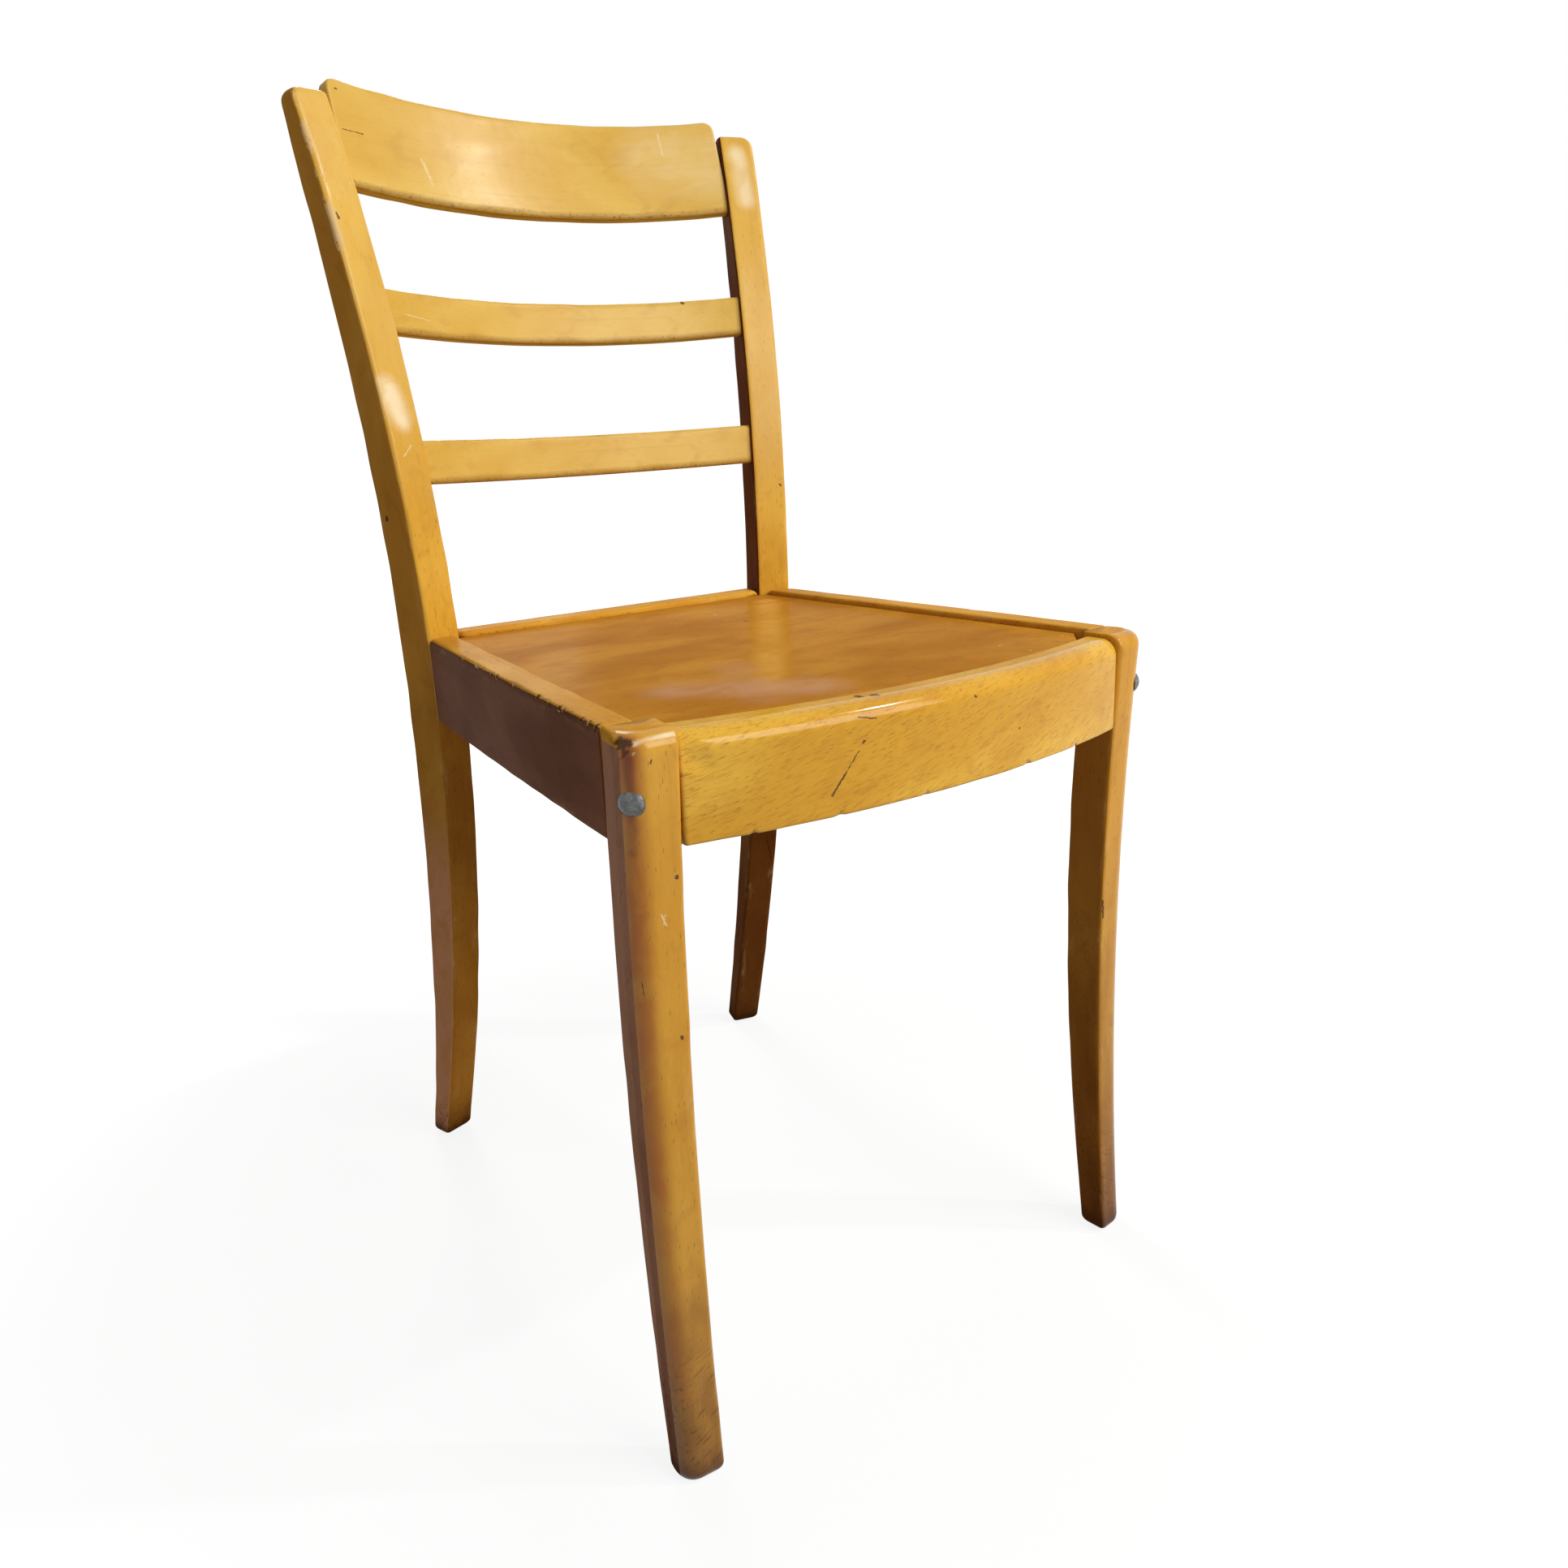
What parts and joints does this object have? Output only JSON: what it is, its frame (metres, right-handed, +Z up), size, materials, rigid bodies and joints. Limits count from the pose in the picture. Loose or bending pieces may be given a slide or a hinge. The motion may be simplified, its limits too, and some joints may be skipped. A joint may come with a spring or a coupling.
{
  "type": "wooden chair",
  "caption": "Side chair with curved splayed rear posts, a bowed crest rail over two slats, an inset plywood seat, a bowed front rail and tapered front legs; lacquer chipped and worn.",
  "frame": {"origin": "centre of the bounding box at floor level, under the seat", "axes": "+Z up, -Y towards the front of the chair where the sitter's knees are, +X towards the side that is on the right when the chair is seen from its front"},
  "size_m": [0.3968, 0.4866, 0.8324],
  "materials": {
    "beech": "honey-amber gloss lacquer over solid beech, worn at the edges",
    "beech_rail": "honey-amber gloss lacquer over solid beech, chipped along the top edge",
    "plywood": "lacquered beech plywood, glossy with a dull haze",
    "raw_beech": "bare wood, unlacquered",
    "steel": "dull grey, pitted"
  },
  "bodies": {
    "root": {"rear_post_left": "beech", "rear_post_right": "beech", "front_leg_left": "beech", "front_leg_right": "beech", "crest_rail": "beech", "middle_slat": "beech", "lower_slat": "beech", "front_rail": "beech_rail", "side_rail_left": "beech_rail", "side_rail_right": "beech_rail", "rear_rail": "beech_rail", "seat_panel": "plywood", "corner_block_left": "raw_beech", "corner_block_right": "raw_beech", "leg_bolt_left": "steel", "leg_bolt_right": "steel", "bolt_washers": "steel", "bolt_nuts": "steel", "rail_dowels": "raw_beech", "block_screws": "steel"}
  },
  "joints": []
}
